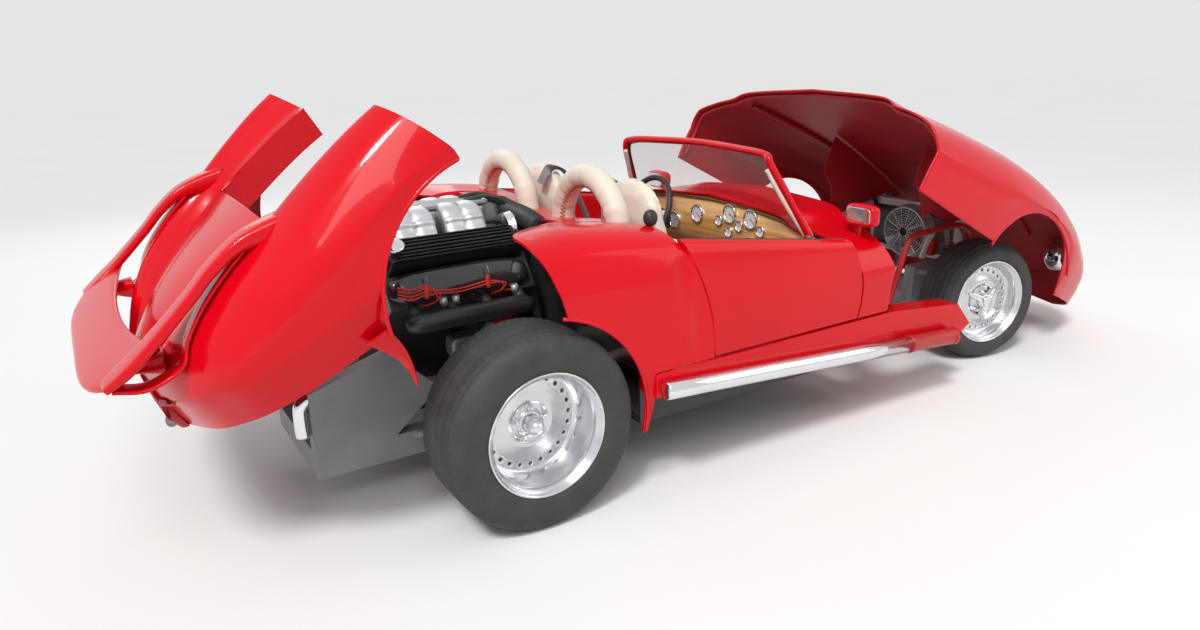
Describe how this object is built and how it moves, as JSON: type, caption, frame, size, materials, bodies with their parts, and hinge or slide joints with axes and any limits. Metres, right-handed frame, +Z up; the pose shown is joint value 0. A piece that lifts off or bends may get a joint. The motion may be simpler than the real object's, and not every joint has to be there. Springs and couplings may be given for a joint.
{
  "type": "open two-seat mid-engined sports car",
  "caption": "Open two-seat sports car, tail and nose clamshells raised over a V8 and a radiator, on four dished wheels.",
  "frame": {"origin": "on the ground, below the middle of the car as it stands with both clamshells up", "axes": "+X to the nose, +Y to the driver's left, +Z up"},
  "size_m": [4.6974, 1.7324, 1.3757],
  "materials": {
    "body_paint": "glossy red",
    "frame_paint": "grey paint",
    "frame_red": "red paint",
    "chrome": "polished",
    "alloy": "polished aluminium",
    "black_metal": "black",
    "tyre": "black rubber",
    "wood": "varnished light wood",
    "leather": "cream leather",
    "steel": "steel",
    "lens": "clear",
    "rim_black": "black"
  },
  "bodies": {
    "chassis": {"frame_rails": "frame_paint", "floor_pan": "frame_paint", "sills": "body_paint", "side_pipes": "chrome", "tub_rear": "body_paint", "bulkhead": "frame_paint", "cowl": "body_paint", "windscreen_frame": "body_paint", "windscreen_glass": "lens", "dashboard": "wood", "steering_column": "black_metal", "seat_left": "leather", "seat_right": "leather", "hoops": "leather", "engine_block": "steel", "valve_covers": "black_metal", "intake_manifold": "alloy", "headers": "black_metal", "air_cleaner": "chrome", "tail_pipes": "chrome", "radiator": "alloy", "front_tubes": "frame_red", "suspension_arms": "frame_paint", "half_shafts": "steel", "mirrors": "body_paint"},
    "door_left": {"door_left": "body_paint"},
    "door_right": {"door_right": "body_paint"},
    "tail": {"clamshell_rear": "body_paint", "rear_wing": "body_paint"},
    "nose": {"clamshell_front": "body_paint", "headlamps": "lens", "wheel_well_panels": "frame_paint"},
    "steering_wheel": {"steering_wheel": "rim_black"},
    "fan": {"fan": "rim_black"},
    "knuckle_left": {"knuckle_left": "steel"},
    "knuckle_right": {"knuckle_right": "steel"},
    "wheel_front_left": {"tyre_front_left": "tyre", "rim_front_left": "alloy"},
    "wheel_front_right": {"tyre_front_right": "tyre", "rim_front_right": "alloy"},
    "wheel_rear_left": {"tyre_rear_left": "tyre", "rim_rear_left": "alloy"},
    "wheel_rear_right": {"tyre_rear_right": "tyre", "rim_rear_right": "alloy"}
  },
  "joints": [
    {"name": "door_left_hinge", "type": "hinge", "parent": "chassis", "child": "door_left", "pos_m": [0.305, 0.8, 0.64], "axis": [0, 0, -1], "range_deg": [0, 60]},
    {"name": "steer_left", "type": "hinge", "parent": "chassis", "child": "knuckle_left", "pos_m": [1.462, 0.492, 0.291], "axis": [0, 0, 1], "range_deg": [-18.4, 41.6]},
    {"name": "spin_rear_left", "type": "hinge", "parent": "chassis", "child": "wheel_rear_left", "pos_m": [-1.115, 0.665, 0.338], "axis": [0, 1, 0], "continuous": true},
    {"name": "spin_front_left", "type": "hinge", "parent": "knuckle_left", "child": "wheel_front_left", "pos_m": [1.462, 0.492, 0.291], "axis": [0.2011, 0.9796, 0], "continuous": true},
    {"name": "door_right_hinge", "type": "hinge", "parent": "chassis", "child": "door_right", "pos_m": [0.305, -0.8, 0.64], "axis": [0, 0, 1], "range_deg": [0, 60]},
    {"name": "steer_right", "type": "hinge", "parent": "chassis", "child": "knuckle_right", "pos_m": [1.462, -0.492, 0.291], "axis": [0, 0, 1], "range_deg": [-18.4, 41.6]},
    {"name": "spin_rear_right", "type": "hinge", "parent": "chassis", "child": "wheel_rear_right", "pos_m": [-1.115, -0.665, 0.338], "axis": [0, 1, 0], "continuous": true},
    {"name": "spin_front_right", "type": "hinge", "parent": "knuckle_right", "child": "wheel_front_right", "pos_m": [1.462, -0.492, 0.291], "axis": [0.2011, 0.9796, 0], "continuous": true},
    {"name": "tail_hinge", "type": "hinge", "parent": "chassis", "child": "tail", "pos_m": [-2.12, 0, 0.435], "axis": [0, 1, 0], "range_deg": [0, 31]},
    {"name": "nose_hinge", "type": "hinge", "parent": "chassis", "child": "nose", "pos_m": [1.785, 0, 0.345], "axis": [0, 1, 0], "range_deg": [-22, 0]},
    {"name": "steering_wheel_turn", "type": "hinge", "parent": "chassis", "child": "steering_wheel", "pos_m": [0.075, 0.33, 0.77], "axis": [-0.9135, 0, 0.4067], "range_deg": [-331.2, 748.8]},
    {"name": "fan_spin", "type": "hinge", "parent": "chassis", "child": "fan", "pos_m": [1.625, 0, 0.52], "axis": [1, 0, 0], "continuous": true}
  ],
  "couplings": [
    {"joint": "steer_right", "follows": "steer_left", "ratio": 1},
    {"joint": "steering_wheel_turn", "follows": "steer_left", "ratio": 18}
  ]
}
